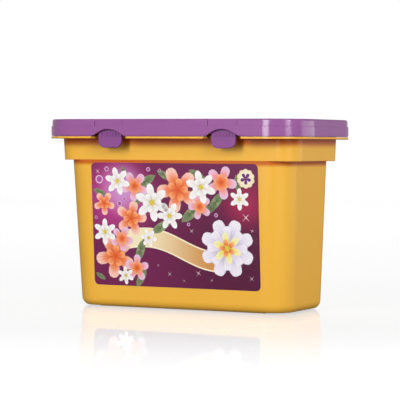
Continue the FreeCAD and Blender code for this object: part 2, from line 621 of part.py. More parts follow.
def make_tab(name, sign):
    """A latch tab: tongue with grip ribs, a pin across its root and a hook behind."""
    body = new_body(name)
    middle = "%s sizes.latch_offset" % sign

    def across(half):
        return "%s - %s" % (middle, half), "%s + %s" % (middle, half)

    root_left, root_right = across("sizes.tab_width / 2")
    foot_left, foot_right = across("sizes.tab_foot_width / 2")
    tongue = new_sketch(body, "tongue_front", "XZ_Plane", "-" + TAB_FACE)
    polygon(tongue, "tongue", [
        (foot_left, "sizes.tab_foot"),
        (foot_right, "sizes.tab_foot"),
        (root_right, "sizes.tab_shoulder"),
        (root_right, "sizes.tab_axis"),
        (root_left, "sizes.tab_axis"),
        (root_left, "sizes.tab_shoulder"),
    ])
    extrude(body, "Pad", "tongue", tongue, "sizes.tab_thick", reverse=True)
    foot = value("sizes.tab_foot")
    round_edges(body, "foot_rounding", "sizes.tab_rounding",
                lambda edge: flat_at(foot)(edge) and edge.BoundBox.XLength < NEAR)
    round_edges(body, "tongue_rounding", "sizes.tab_edge",
                lambda edge: edge.BoundBox.YMax < value(TAB_FACE) + NEAR
                and edge.BoundBox.ZMin < value("sizes.tab_axis") - NEAR)

    reach = "(sizes.tab_width / 2 + sizes.side_gap + sizes.cheek_wall)"
    pin = new_sketch(body, "pin_section", "YZ_Plane", "%s - %s" % (middle, reach))
    circle(pin, "pin", TAB_PIN, "sizes.tab_axis", "sizes.pin_radius")
    extrude(body, "Pad", "pin", pin, "2 * " + reach)

    hook = new_sketch(body, "hook_section", "YZ_Plane", "%s - sizes.hook_width / 2" % middle)
    root = "%s + sizes.tab_thick / 2" % TAB_FACE
    nose = "%s + sizes.hook_reach" % LEDGE_EDGE
    top = "sizes.flange_under - sizes.hook_gap"
    polygon(hook, "hook", [
        (root, top),
        (root, top + " - sizes.hook_height"),
        ("%s - sizes.hook_reach" % LEDGE_EDGE, top + " - sizes.hook_height"),
        (nose, top + " - sizes.hook_nose"),
        (nose, top),
    ])
    extrude(body, "Pad", "hook", hook, "sizes.hook_width")

    rib = new_sketch(body, "rib_front", "XZ_Plane", "-" + TAB_FACE)
    first = "%s - (sizes.rib_count - 1) * sizes.rib_pitch / 2" % middle
    oblong(rib, "rib", first + " - sizes.rib_width / 2", first + " + sizes.rib_width / 2",
           "sizes.rib_foot", "sizes.rib_foot + sizes.rib_height")
    rib_pad = extrude(body, "Pad", "grip_rib", rib, "sizes.rib_proud")
    row = body.newObject("PartDesign::LinearPattern", "grip_ribs")
    row.Originals = [rib_pad]
    row.Direction = (rib, ["H_Axis"])
    row.setExpression("Length", "(sizes.rib_count - 1) * sizes.rib_pitch")
    row.setExpression("Occurrences", "sizes.rib_count")
    body.Tip = row
    doc.recompute()
    return body


def make_label():
    """A film on the leaning front face of the tub."""
    body = new_body("front_label")
    sketch = new_sketch(body, "label_front", "XZ_Plane", "-(%s + sizes.collar_front)" % FRONT)
    sketch.AttachmentOffset = Placement(Vector(0, 0, 0), Rotation(Vector(1, 0, 0), 1))
    sketch.setExpression("AttachmentOffset.Base.y", "sizes.flange_under")
    sketch.setExpression("AttachmentOffset.Rotation.Angle", "sizes.front_draft")
    slope = "cos(sizes.front_draft * 1 deg)"
    outline(sketch, "label", "sizes.label_width / 2",
            "(sizes.label_foot - sizes.flange_under) / %s" % slope,
            "(sizes.label_head - sizes.flange_under) / %s" % slope,
            "sizes.label_radius", "sizes.label_radius")
    extrude(body, "Pad", "film", sketch, "sizes.label_thick")
    return body


def make_pod():
    """The pod that all the others repeat: a seam, a tall cushion above, a low one below."""
    body = new_body("pod")

    def cushion_plan(name, height, inset):
        sketch = new_sketch(body, name, "XY_Plane", height)
        corner = "(sizes.pod_corner - (%s) / 2)" % inset
        outline(sketch, "plan", "(%s / 2 - (%s))" % (POD_WIDTH, inset),
                "(-%s / 2 + (%s))" % (POD_LENGTH, inset),
                "(%s / 2 - (%s))" % (POD_LENGTH, inset), corner, corner)
        return sketch

    seam = cushion_plan("seam_plan", "0", "0")
    extrude(body, "Pad", "seam", seam, "sizes.pod_seam")
    wide, narrow = "sizes.pod_border", "sizes.pod_border + sizes.pod_slope"
    top = "sizes.pod_seam + " + POD_RISE
    bottom = "-" + POD_DROP
    loft(body, "AdditiveLoft", "upper_cushion", cushion_plan("upper_foot", "sizes.pod_seam", wide),
         cushion_plan("upper_head", top, narrow))
    loft(body, "AdditiveLoft", "lower_cushion", cushion_plan("lower_head", "0", wide),
         cushion_plan("lower_foot", bottom, narrow))
    levels = (value(top), value(bottom))
    round_edges(body, "cushion_rounding", "sizes.pod_round",
                lambda edge: any(flat_at(level)(edge) for level in levels))
    return body


def pod_places():
    """Nine pods stand in three rows at the bottom. Above them each column has one standing
    pod and a stack of two or three lying ones, front and back by turns."""
    gap = value("sizes.pod_gap")
    drop, thick = value(POD_DROP), value(POD_THICK)
    corner = value("sizes.pod_corner")
    lean, twist = value("sizes.pod_lean"), value("sizes.pod_twist")
    tip, sway = value("sizes.pod_tip"), value("sizes.pod_sway")
    half_width, half_length = value(POD_WIDTH) / 2, value(POD_LENGTH) / 2
    middle_shift = thick / 2 - drop
    slope = value("sizes.pod_border + sizes.pod_slope")
    flat_width, flat_length = half_width - slope, half_length - slope
    x_axis, z_axis = Vector(1, 0, 0), Vector(0, 0, 1)
    upright = Rotation(x_axis, 90)
    places = []

    def sine(degrees):
        return math.sin(math.radians(degrees))

    def cosine(degrees):
        return math.cos(math.radians(degrees))

    def tub_depth(level):
        _, front, back = wall_at(level, "sizes.tub_wall", "0", "sizes.step_back")
        return value(front), value(back)

    def stand(x, y, z, tilt):
        """A pod on its edge, its tall cushion to the front or to the back by turns."""
        number = len(places)
        turn = twist / 2 * cosine(sway * number)
        face = Rotation(z_axis, 180 if number % 2 else 0)
        rotation = Rotation(z_axis, turn) * Rotation(x_axis, tilt) * face * upright
        shift = rotation.multVec(Vector(0, 0, middle_shift))
        places.append(Placement(Vector(x, y, z) - shift, rotation))

    def lie(x, y, z, tipped):
        """A pod on whatever ends at height z; a tipped one touches it along one edge."""
        turn = Rotation(z_axis, twist * sine(sway * len(places)))
        angle = tip if tipped else 0
        height = z + drop + flat_length * sine(angle)
        places.append(Placement(Vector(x, y, height), turn * Rotation(x_axis, angle)))

    columns = [number * value(POD_WIDTH + " + sizes.column_gap") for number in (-1, 0, 1)]
    rows = [number * value(POD_THICK + " + sizes.row_gap") for number in (-1, 0, 1)]
    rise = half_length + middle_shift * sine(lean)
    floor = value("sizes.base_thick") + gap
    front, back = tub_depth("sizes.base_thick")
    for x in columns:
        for y in rows:
            tilt = lean * sine(sway * len(places))
            stand(x, (front + back) / 2 + y, floor + rise, tilt)
    floor += 2 * rise + gap
    near_wall = thick / 2 + flat_width * sine(twist / 2) + gap
    front_face, back_face = tub_depth("sizes.base_thick + 3 / 2 * " + POD_LENGTH)
    front, back = tub_depth("sizes.base_thick + " + POD_LENGTH)
    turned = (half_length - corner) * cosine(twist) + (half_width - corner) * sine(twist)
    lying = turned + corner + gap
    for x, stack, stands_behind in zip(columns, (3, 2, 3), (True, False, True)):
        if stands_behind:
            stand(x, back_face - near_wall, floor + rise, -value("sizes.back_draft"))
            y = front + lying
        else:
            stand(x, front_face + near_wall, floor + rise, value("sizes.front_draft"))
            y = back - lying
        for level in range(stack):
            lie(x, y, floor + level * (thick + gap), tipped=level == stack - 1)
    return places


def lay_pods(master):
    """Each pod is its own object that repeats the first one."""
    pods = []
    for number, place in enumerate(pod_places(), start=1):
        pod = doc.addObject("Part::Compound", "pod_%02d" % number)
        pod.Label = "pod_%02d" % number
        pod.Links = [master]
        pod.Placement = place
        pods.append(pod)
    return pods


def write_parts(parts):
    doc.recompute()
    for item in doc.Objects:
        if "Invalid" in item.State or "Error" in item.State:
            raise RuntimeError("failed: %s %s" % (item.Label, item.State))
    os.makedirs("parts", exist_ok=True)
    for item in parts:
        shape = item.Shape
        if shape.isNull() or not shape.isValid() or len(shape.Solids) != 1:
            raise RuntimeError("bad shape: " + item.Label)
        shape.exportStep("parts/%s.step" % item.Label)
        print("%-16s %3d faces %10.1f mm3" % (item.Label, len(shape.Faces), shape.Volume))


tub = make_tub()
lid = make_lid()
left_tab = make_tab("left_latch_tab", "-")
right_tab = make_tab("right_latch_tab", "")
label = make_label()
pod_list = lay_pods(make_pod())
write_parts([tub, lid, left_tab, right_tab, label] + pod_list)
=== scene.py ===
import math

import bpy
import numpy
from mathutils import Matrix, Vector


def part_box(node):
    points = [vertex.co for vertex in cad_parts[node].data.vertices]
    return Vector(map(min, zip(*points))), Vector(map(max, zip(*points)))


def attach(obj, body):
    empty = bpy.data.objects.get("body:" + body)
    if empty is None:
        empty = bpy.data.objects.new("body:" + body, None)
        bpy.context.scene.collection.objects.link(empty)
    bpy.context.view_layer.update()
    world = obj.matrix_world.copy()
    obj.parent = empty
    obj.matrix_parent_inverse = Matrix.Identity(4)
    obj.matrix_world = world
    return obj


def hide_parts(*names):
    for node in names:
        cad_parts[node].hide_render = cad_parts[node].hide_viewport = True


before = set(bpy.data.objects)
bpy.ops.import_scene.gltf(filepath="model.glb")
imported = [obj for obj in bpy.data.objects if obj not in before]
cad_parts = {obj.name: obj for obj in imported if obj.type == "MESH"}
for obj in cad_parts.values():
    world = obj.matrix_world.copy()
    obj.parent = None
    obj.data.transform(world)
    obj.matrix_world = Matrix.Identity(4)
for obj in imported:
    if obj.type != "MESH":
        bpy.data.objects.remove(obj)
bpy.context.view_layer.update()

bpy.ops.object.select_all(action="DESELECT")
bpy.context.scene.view_settings.view_transform = "Standard"


# The photographer's camera: a long lens, to the right of the front and a little above the
# middle of the tub. It looks past the tub's middle by the two small offsets.
PICTURE_WIDTH = 400
FOCAL_PIXELS = 1872
SENSOR = 36.0
distance = 1.178
swing, dip, roll = math.radians(27.0), math.radians(1.70), math.radians(0.26)
look_at = Vector((0, 0, 0.060))
eye_right, eye_up = 0.00099, 0.00719

ahead = Vector((-math.sin(swing) * math.cos(dip), math.cos(swing) * math.cos(dip), -math.sin(dip)))
level_right = Vector((math.cos(swing), math.sin(swing), 0))
level_up = level_right.cross(ahead)
to_right = math.cos(roll) * level_right + math.sin(roll) * level_up
to_top = math.cos(roll) * level_up - math.sin(roll) * level_right
eye = look_at - distance * ahead + eye_right * to_right + eye_up * to_top
turned = Matrix((to_right, to_top, -ahead)).transposed()
bpy.ops.object.camera_add(location=eye, rotation=turned.to_euler())
camera = bpy.context.object
camera.data.sensor_width = SENSOR
camera.data.lens = FOCAL_PIXELS / PICTURE_WIDTH * SENSOR
camera.data.clip_end = 50
bpy.context.scene.camera = camera


# The tub: glossy polypropylene, injection moulded in one warm yellow. The skin has the mould's
# fine orange peel, a faint flow shade from the gate in the foot, and light shelf scuffs.
def linear(red, green, blue):
    """A colour as seen on a screen, 0 to 255, in the values that Blender works with."""
    values = []
    for part in (red, green, blue):
        part /= 255
        values.append(part / 12.92 if part <= 0.04045 else ((part + 0.055) / 1.055) ** 2.4)
    return (*values, 1.0)


def new_group(name, inputs, outputs):
    group = bpy.data.node_groups.new(name, "ShaderNodeTree")
    for label, kind, default in inputs:
        socket = group.interface.new_socket(name=label, in_out="INPUT", socket_type=kind)
        socket.default_value = default
    for label, kind in outputs:
        group.interface.new_socket(name=label, in_out="OUTPUT", socket_type=kind)
    return group, group.nodes.new("NodeGroupInput"), group.nodes.new("NodeGroupOutput")


def add(tree, kind, **settings):
    """A node of that kind. Each setting is a property, or an input's name with its value."""
    node = tree.nodes.new("ShaderNode" + kind)
    for key, value in settings.items():
        if hasattr(node, key):
            setattr(node, key, value)
        else:
            node.inputs[key.replace("_", " ")].default_value = value
    return node


def join(tree, *pairs):
    for start, end in pairs:
        tree.links.new(start, end)


def blend(tree, factor, first, second):
    """Mixes two colours, each a socket or four numbers, and gives the result's socket."""
    mix = add(tree, "Mix", data_type="RGBA")
    for number, source in ((0, factor), (6, first), (7, second)):
        if isinstance(source, (tuple, float)):
            mix.inputs[number].default_value = source
        else:
            tree.links.new(source, mix.inputs[number])
    return mix.outputs[2]


def ease(tree, source, low, high, start=0.0, end=1.0):
    """Spreads a value from low to high over start to end, smoothly and within them."""
    spread = add(tree, "MapRange", clamp=True, interpolation_type="SMOOTHSTEP")
    for key, number in (("From Min", low), ("From Max", high), ("To Min", start), ("To Max", end)):
        spread.inputs[key].default_value = number
    tree.links.new(source, spread.inputs["Value"])
    return spread.outputs["Result"]


# Moulded skin: two sizes of orange peel as a height, and a slow cloudiness as a mask.
moulded, g_in, g_out = new_group(
    "moulded_skin",
    [("Peel Scale", "NodeSocketFloat", 900.0), ("Cloud Scale", "NodeSocketFloat", 18.0)],
    [("Height", "NodeSocketFloat"), ("Cloud", "NodeSocketFloat")],
)
place = add(moulded, "TexCoord")
peel = add(moulded, "TexNoise", Detail=2.0, Roughness=0.5)
wave = add(moulded, "TexNoise", Scale=60.0, Detail=1.0)
cloud = add(moulded, "TexNoise", Detail=3.0, Roughness=0.55)
mix_height = add(moulded, "Math", operation="MULTIPLY_ADD")
mix_height.inputs[1].default_value = 0.35
join(
    moulded,
    (place.outputs["Object"], peel.inputs["Vector"]),
    (place.outputs["Object"], wave.inputs["Vector"]),
    (place.outputs["Object"], cloud.inputs["Vector"]),
    (g_in.outputs["Peel Scale"], peel.inputs["Scale"]),
    (g_in.outputs["Cloud Scale"], cloud.inputs["Scale"]),
    (peel.outputs["Fac"], mix_height.inputs[0]),
    (wave.outputs["Fac"], mix_height.inputs[2]),
    (mix_height.outputs["Value"], g_out.inputs["Height"]),
    (cloud.outputs["Fac"], g_out.inputs["Cloud"]),
)

# Shelf scuffs: long thin marks in two directions, as a mask from 0 to 1.
scuffed, g_in, g_out = new_group(
    "shelf_scuffs",
    [("Scale", "NodeSocketFloat", 40.0), ("Amount", "NodeSocketFloat", 0.5)],
    [("Mask", "NodeSocketFloat")],
)
place = add(scuffed, "TexCoord")
masks = []
for turn in (0.35, -1.1):
    stretch = add(scuffed, "Mapping")
    stretch.inputs["Rotation"].default_value = (turn, turn * 0.6, turn)
    stretch.inputs["Scale"].default_value = (1.0, 14.0, 14.0)
    noise = add(scuffed, "TexNoise", Detail=4.0, Roughness=0.7)
    sharp = add(scuffed, "MapRange", clamp=True)
    sharp.inputs["From Min"].default_value = 0.66
    sharp.inputs["From Max"].default_value = 0.74
    join(
        scuffed,
        (place.outputs["Object"], stretch.inputs["Vector"]),
        (stretch.outputs["Vector"], noise.inputs["Vector"]),
        (g_in.outputs["Scale"], noise.inputs["Scale"]),
        (noise.outputs["Fac"], sharp.inputs["Value"]),
    )
    masks.append(sharp.outputs["Result"])
both = add(scuffed, "Math", operation="MAXIMUM")
scale_down = add(scuffed, "Math", operation="MULTIPLY")
join(
    scuffed,
    (masks[0], both.inputs[0]),
    (masks[1], both.inputs[1]),
    (both.outputs["Value"], scale_down.inputs[0]),
    (g_in.outputs["Amount"], scale_down.inputs[1]),
    (scale_down.outputs["Value"], g_out.inputs["Mask"]),
)


def moulded_plastic(name, colour, deep, roughness, peel_scale, peel_depth, scuff_amount):
    """A moulded plastic: its colour, the same a little deeper where it is cloudy, how rough it
    is, and the size and depth in metres of its orange peel."""
    material = bpy.data.materials.new(name)
    material.use_nodes = True
    tree = material.node_tree
    shader = tree.nodes["Principled BSDF"]
    skin = add(tree, "Group", node_tree=moulded)
    skin.inputs["Peel Scale"].default_value = peel_scale
    marks = add(tree, "Group", node_tree=scuffed)
    marks.inputs["Amount"].default_value = scuff_amount
    rough = add(tree, "MapRange")
    rough.inputs["To Min"].default_value = roughness - 0.04
    rough.inputs["To Max"].default_value = roughness + 0.04
    worn = add(tree, "Math", operation="MULTIPLY_ADD")
    worn.inputs[1].default_value = 0.25
    bump = add(tree, "Bump", Distance=peel_depth)
    join(
        tree,
        (blend(tree, skin.outputs["Cloud"], colour, deep), shader.inputs["Base Color"]),
        (skin.outputs["Cloud"], rough.inputs["Value"]),
        (marks.outputs["Mask"], worn.inputs[0]),
        (rough.outputs["Result"], worn.inputs[2]),
        (worn.outputs["Value"], shader.inputs["Roughness"]),
        (skin.outputs["Height"], bump.inputs["Height"]),
        (bump.outputs["Normal"], shader.inputs["Normal"]),
    )
    shader.inputs["IOR"].default_value = 1.49
    return material


def dress(name, material):
    """Puts one material on a CAD node in place of its plain colour."""
    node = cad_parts[name]
    node.data.materials.clear()
    node.data.materials.append(material)


tub_yellow = moulded_plastic(
    "tub_yellow", linear(242, 184, 67), linear(237, 177, 58), 0.30, 700.0, 0.00003, 0.5)
dress("tub", tub_yellow)

# Painted shade: just under the flange and the collar, the yellow is painted deep orange, standing
# in for the shade there and the light that bounces from yellow to yellow. Each band has the height
# where it starts, where it is full, and the ledge over it.
UNDER_FLANGE = (0.0995, 0.1040, 0.1056)
UNDER_COLLAR = (0.0882, 0.0910, 0.0923)
tree = tub_yellow.node_tree
shader = tree.nodes["Principled BSDF"]
even_yellow = shader.inputs["Base Color"].links[0].from_socket
place = add(tree, "TexCoord")
split = add(tree, "SeparateXYZ")
painted_shade_under_ledges = add(tree, "Math", operation="MAXIMUM")
join(tree, (place.outputs["Object"], split.inputs[0]))
for number, (start, full, ledge) in enumerate((UNDER_FLANGE, UNDER_COLLAR)):
    band = add(tree, "Math", operation="MULTIPLY")
    join(
        tree,
        (ease(tree, split.outputs["Z"], start, full, 0.0, 0.95), band.inputs[0]),
        (ease(tree, split.outputs["Z"], ledge, ledge + 0.0003, 1.0, 0.0), band.inputs[1]),
        (band.outputs["Value"], painted_shade_under_ledges.inputs[number]),
    )
# Painted shade: the deep orange is mixed in under the flange and the collar.
colour = blend(tree, painted_shade_under_ledges.outputs["Value"], even_yellow, linear(200, 90, 5))
join(tree, (colour, shader.inputs["Base Color"]))


# The lid: the same kind of plastic in purple, a little glossier. It hinges at the back.
lid_purple = moulded_plastic(
    "lid_purple", linear(154, 91, 154), linear(147, 85, 148), 0.16, 800.0, 0.00002, 0.6)
dress("lid", lid_purple)


def choose(kind, test):
    """Selects the vertices, edges or faces of the active mesh that pass a test, in edit mode."""
    bpy.ops.object.mode_set(mode="EDIT")
    bpy.ops.mesh.select_mode(type=kind)
    bpy.ops.mesh.select_all(action="DESELECT")
    bpy.ops.object.mode_set(mode="OBJECT")
    mesh = bpy.context.object.data
    for item in {"VERT": mesh.vertices, "EDGE": mesh.edges, "FACE": mesh.polygons}[kind]:
        item.select = test(item)
    bpy.ops.object.mode_set(mode="EDIT")


def span(edge, axis):
    """How far apart an edge's two ends are along an axis. It looks at the active mesh."""
    points = bpy.context.object.data.vertices
    return abs(points[edge.vertices[0]].co[axis] - points[edge.vertices[1]].co[axis])


# The lid's lip: a thin bead moulded under its skirt that closes on the flange, along the front
# and both ends, with a gap at each latch.
LIP_INSET = 0.0004
LIP_MIDDLE, LIP_HALF_HEIGHT, LIP_THICK = 0.107325, 0.000275, 0.0011
LATCH_OFFSET, HALF_GAP = 0.039, 0.0115
lid_low, lid_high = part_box("lid")
bpy.ops.mesh.primitive_cube_add(size=2, location=(0, 0, LIP_MIDDLE))
lip = bpy.context.object
lip.name = "lid_lip"
lip.scale = (lid_high[0] - LIP_INSET, -lid_low[1] - LIP_INSET, LIP_HALF_HEIGHT)
bpy.ops.object.transform_apply(location=True, rotation=False, scale=True)
choose("EDGE", lambda edge: span(edge, 2) > 1e-6)
bpy.ops.mesh.bevel(offset=0.024 - LIP_INSET, segments=10)
choose("FACE", lambda face: abs(face.normal.z) > 0.5 or face.normal.y > 0.5)
bpy.ops.mesh.delete(type="FACE")
choose("EDGE", lambda edge: span(edge, 0) > 0.1)
bpy.ops.mesh.subdivide(number_cuts=59)
choose("FACE", lambda face: face.center.y < -0.04
       and abs(abs(face.center.x) - LATCH_OFFSET) < HALF_GAP)
bpy.ops.mesh.delete(type="FACE")
bpy.ops.object.mode_set(mode="OBJECT")
wall = lip.modifiers.new("wall", "SOLIDIFY")
wall.thickness = LIP_THICK
bpy.ops.object.modifier_apply(modifier=wall.name)
lip.data.materials.append(lid_purple)
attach(lip, "lid")


# The latch tabs: purple, matt from the thumb that presses them, clipped in the lid.
tab_purple = moulded_plastic(
    "tab_purple", linear(134, 62, 137), linear(126, 57, 130), 0.50, 500.0, 0.00005, 0.3)
dress("left_latch_tab", tab_purple)
dress("right_latch_tab", tab_purple)


# The label's film: white plastic printed plum all over and varnished. A magenta glow fades
# out from its upper left, and fine glitter lies thicker towards the right.
FILM = 0.00015
label_low, label_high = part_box("front_label")
foot_line = Vector((0, label_high[1] - FILM, label_low[2]))
head_line = Vector((0, label_low[1], label_high[2]))
label_up = (head_line - foot_line).normalized()
label_out = Vector((1, 0, 0)).cross(label_up).normalized()
label_middle = (foot_line + head_line) / 2
label_plane = Matrix.Translation(label_middle) @ Matrix(
    ((1, 0, 0), label_up, label_out)).transposed().to_4x4()


def printed(name, roughness=0.28):
    """A varnished print. Gives the material, its tree and its shader."""
    material = bpy.data.materials.new(name)
    material.use_nodes = True
    shader = material.node_tree.nodes["Principled BSDF"]
    shader.inputs["Roughness"].default_value = roughness
    shader.inputs["IOR"].default_value = 1.5
    return material, material.node_tree, shader


def away_from(tree, x, z):
    """How far a point of the label is from x and z, in metres."""
    place = add(tree, "TexCoord")
    shift = add(tree, "Mapping", vector_type="TEXTURE")
    shift.inputs["Location"].default_value = (x, 0, z)
    flat = add(tree, "VectorMath", operation="MULTIPLY")
    flat.inputs[1].default_value = (1, 0, 1)
    length = add(tree, "VectorMath", operation="LENGTH")
    join(
        tree,
        (place.outputs["Object"], shift.inputs["Vector"]),
        (shift.outputs["Vector"], flat.inputs[0]),
        (flat.outputs["Vector"], length.inputs[0]),
    )
    return length.outputs["Value"]


# Ground colours: plum, darker at the lower right, with a magenta, a lilac and a red glow. Each
# glow has its x and z, the distances where it starts and is full, and its strength.
ground, tree, shader = printed("label_ground")
dark_to_plum = ease(tree, away_from(tree, 0.045, 0.030), 0.0, 0.075)
colour = blend(tree, dark_to_plum, linear(82, 16, 54), linear(112, 28, 78))
for x, z, start, full, strength, glow in (
    (-0.040, 0.070, 0.034, 0.004, 1.0, linear(190, 60, 140)),
    (-0.036, 0.074, 0.020, 0.0, 1.0, linear(206, 150, 206)),
    (0.048, 0.066, 0.020, 0.0, 0.6, linear(196, 36, 84)),
):
    near = ease(tree, away_from(tree, x, z), start, full, 0.0, strength)
    colour = blend(tree, near, colour, glow)

# Glitter: fine specks, thicker in patches and towards the right.
place = add(tree, "TexCoord")
glitter = add(tree, "TexVoronoi", Scale=900.0)
spot = ease(tree, glitter.outputs["Distance"], 0.22, 0.08)
patchy = add(tree, "TexNoise", Scale=70.0, Detail=3.0)
thick = ease(tree, patchy.outputs["Fac"], 0.50, 0.66)
right_side = ease(tree, away_from(tree, 0.060, 0.045), 0.060, 0.010)
dust = add(tree, "Math", operation="MULTIPLY")
amount = add(tree, "Math", operation="MULTIPLY")
join(
    tree,
    (place.outputs["Object"], glitter.inputs["Vector"]),
    (place.outputs["Object"], patchy.inputs["Vector"]),
    (spot, dust.inputs[0]),
    (thick, dust.inputs[1]),
    (dust.outputs["Value"], amount.inputs[0]),
    (right_side, amount.inputs[1]),
)
colour = blend(tree, amount.outputs["Value"], colour, linear(226, 120, 120))
join(tree, (colour, shader.inputs["Base Color"]))
dress("front_label", ground)


# The label's print: a garland of flowers and leaves over a gold ribbon, with a big white
# blossom at the lower right. Each ink is a layer a hair above the one under it, varnished.
def flat_bloom(petals, rim):
    """A flat flower of radius 1 mm. The rim gives how far out it reaches, cleft to cleft."""
    steps = len(rim)
    bpy.ops.mesh.primitive_circle_add(vertices=petals * steps, radius=0.001, fill_type="TRIFAN")
    for step, reach in enumerate(rim):
        def on_step(point, step=step):
            turn = round(math.atan2(point.co.y, point.co.x) / math.tau * petals * steps)
            return point.co.length > 0.0002 and turn % steps == step
        choose("VERT", on_step)
        bpy.ops.transform.resize(value=(reach, reach, 1), center_override=(0, 0, 0))
    bpy.ops.object.mode_set(mode="OBJECT")
    return bpy.context.object


def scatter(name, master, spots, layer, ink):
    """Copies a flat shape to places on the label, each given in millimetres from its middle
    as across, up, size and turn in degrees, and prints them in one ink."""
    copies = []
    for across, up, size, turn in spots:
        bpy.ops.object.select_all(action="DESELECT")
        master.select_set(True)
        bpy.context.view_layer.objects.active = master
        bpy.ops.object.duplicate(linked=False)
        copy = bpy.context.object
        copy.location = (across / 1000, up / 1000, layer * 0.00002)
        copy.rotation_euler = (0, 0, math.radians(turn))
        copy.scale = (size, size, 1)
        copies.append(copy)
    for copy in copies:
        copy.select_set(True)
    if len(copies) > 1:
        bpy.ops.object.join()
    bpy.ops.object.transform_apply(location=True, rotation=True, scale=True)
    motif = bpy.context.object
    motif.name = name
    motif.matrix_world = label_plane
    bpy.ops.object.transform_apply(location=True, rotation=True, scale=True)
    motif.data.materials.clear()
    motif.data.materials.append(ink)
    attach(motif, "tub")
    return motif


def petal_ink(name, petals, throat, body, tip, shade):
    """Petals in print: a deep throat that pales outwards, fine veins, and a shade at the clefts."""
    material, tree, shader = printed(name)
    place = add(tree, "TexCoord")
    centred = add(tree, "VectorMath", operation="SUBTRACT")
    centred.inputs[1].default_value = (0.5, 0.5, 0)
    radius = add(tree, "VectorMath", operation="LENGTH")
    sides = add(tree, "SeparateXYZ")
    angle = add(tree, "Math", operation="ARCTAN2")
    join(
        tree,
        (place.outputs["UV"], centred.inputs[0]),
        (centred.outputs["Vector"], radius.inputs[0]),
        (centred.outputs["Vector"], sides.inputs[0]),
        (sides.outputs["Y"], angle.inputs[0]),
        (sides.outputs["X"], angle.inputs[1]),
    )
    waves = []
    for count in (petals, petals * 7):
        turns = add(tree, "Math", operation="MULTIPLY")
        turns.inputs[1].default_value = count
        wave = add(tree, "Math", operation="COSINE")
        join(tree, (angle.outputs[0], turns.inputs[0]), (turns.outputs[0], wave.inputs[0]))
        waves.append(wave.outputs[0])
    colour = blend(tree, ease(tree, radius.outputs["Value"], 0.04, 0.24), throat, body)
    colour = blend(tree, ease(tree, radius.outputs["Value"], 0.22, 0.48), colour, tip)
    colour = blend(tree, ease(tree, waves[0], 0.0, 1.0, 0.0, 0.75), colour, shade)
    colour = blend(tree, ease(tree, waves[1], 0.2, 1.0, 0.0, 0.22), colour, shade)
    join(tree, (colour, shader.inputs["Base Color"]))
    return material


# The inks: each has its petals, then the colours of its throat, body, tips and shade.
coral_ink = petal_ink("coral_ink", 5, linear(214, 52, 30), linear(240, 128, 70),
                      linear(250, 206, 190), linear(214, 84, 62))
rose_ink = petal_ink("rose_ink", 5, linear(240, 150, 60), linear(244, 150, 130),
                     linear(232, 196, 226), linear(206, 120, 150))
white_ink = petal_ink("white_ink", 6, linear(214, 214, 160), linear(240, 234, 232),
                      linear(252, 250, 248), linear(196, 186, 190))
blossom_ink = petal_ink("blossom_ink", 8, linear(236, 226, 240), linear(226, 216, 234),
                        linear(242, 238, 246), linear(190, 176, 206))
lemon_ink = petal_ink("lemon_ink", 6, linear(238, 150, 60), linear(240, 226, 110),
                      linear(246, 242, 190), linear(222, 198, 90))
orange_ink = petal_ink("orange_ink", 5, linear(232, 84, 40), linear(240, 122, 60),
                       linear(250, 176, 120), linear(214, 84, 40))
leaf_ink = petal_ink("leaf_ink", 2, linear(74, 92, 60), linear(104, 122, 84),
                     linear(126, 140, 98), linear(150, 160, 116))

# Gold ribbon: a long strip that waves across the label, cream at the left and gold at the right.
bpy.ops.mesh.primitive_grid_add(x_subdivisions=44, y_subdivisions=1, size=0.002)
ribbon = bpy.context.object
ribbon.scale = (36, 6.2, 1)
bpy.ops.object.transform_apply(location=False, rotation=False, scale=True)
for column in range(45):
    along = (column / 22 - 1) * 0.036
    choose("VERT", lambda point: abs(point.co.x - along) < 0.0002)
    bpy.ops.transform.translate(value=(0, 0.0045 * math.sin(column / 44 * 5.2), 0))
bpy.ops.object.mode_set(mode="OBJECT")
ribbon_ink, tree, shader = printed("ribbon_ink", 0.24)
place = add(tree, "TexCoord")
split = add(tree, "SeparateXYZ")
join(tree, (place.outputs["UV"], split.inputs[0]))
along = ease(tree, split.outputs["X"], 0.1, 0.95)
gold = blend(tree, along, linear(246, 232, 190), linear(210, 146, 74))
edge = add(tree, "Math", operation="PINGPONG")
edge.inputs[1].default_value = 0.5
join(tree, (split.outputs["Y"], edge.inputs[0]))
gold = blend(tree, ease(tree, edge.outputs[0], 0.10, 0.04), gold, linear(250, 240, 206))
join(tree, (gold, shader.inputs["Base Color"]))
scatter("label_ribbon", ribbon, [(-2, -14, 1, -6)], 1, ribbon_ink)

# Leaves: two points and a pale rib, under the flowers.
leaf = flat_bloom(2, (0.34, 0.37, 0.46, 0.66, 1.0, 0.66, 0.46, 0.37))
scatter("label_leaves", leaf, [
    (-24, -33, 7, 150), (-53, -33, 4, 60), (-52, 20, 5, 70), (-24, -16, 8, -20),
    (-19, 27, 8, 120), (-6, 31, 6, 60), (-25, 17, 7, 160), (-9, -1, 8, -60), (12, 8, 9, -50),
    (17, 31, 7, 60), (29, 15, 8, -40), (44, 26, 6, 10), (22, 10, 7, -80), (-34, 33, 4, 30),
], 2, leaf_ink)

# Coral and rose blossoms of five petals, each with a smaller ring of petals inside.
five = flat_bloom(5, (0.30, 0.62, 0.86, 0.97, 1.0, 0.97, 0.86, 0.62))
coral = [(-42, -20, 14, 10), (3, 22, 14.5, 5), (-30, 4, 11, 40), (-49, 13, 7.5, 20)]
rose = [(-27, 24, 9.5, 12), (33, 27, 10.5, 30), (-27, -27, 8.5, 50), (18, 12, 8, 0),
        (-37, -9, 8, 25)]
scatter("label_coral_petals", five, coral, 3, coral_ink)
scatter("label_rose_petals", five, rose, 4, rose_ink)
inner = [(across, up, size * 0.5, turn + 36) for across, up, size, turn in coral + rose]
scatter("label_inner_petals", five, inner, 5, orange_ink)

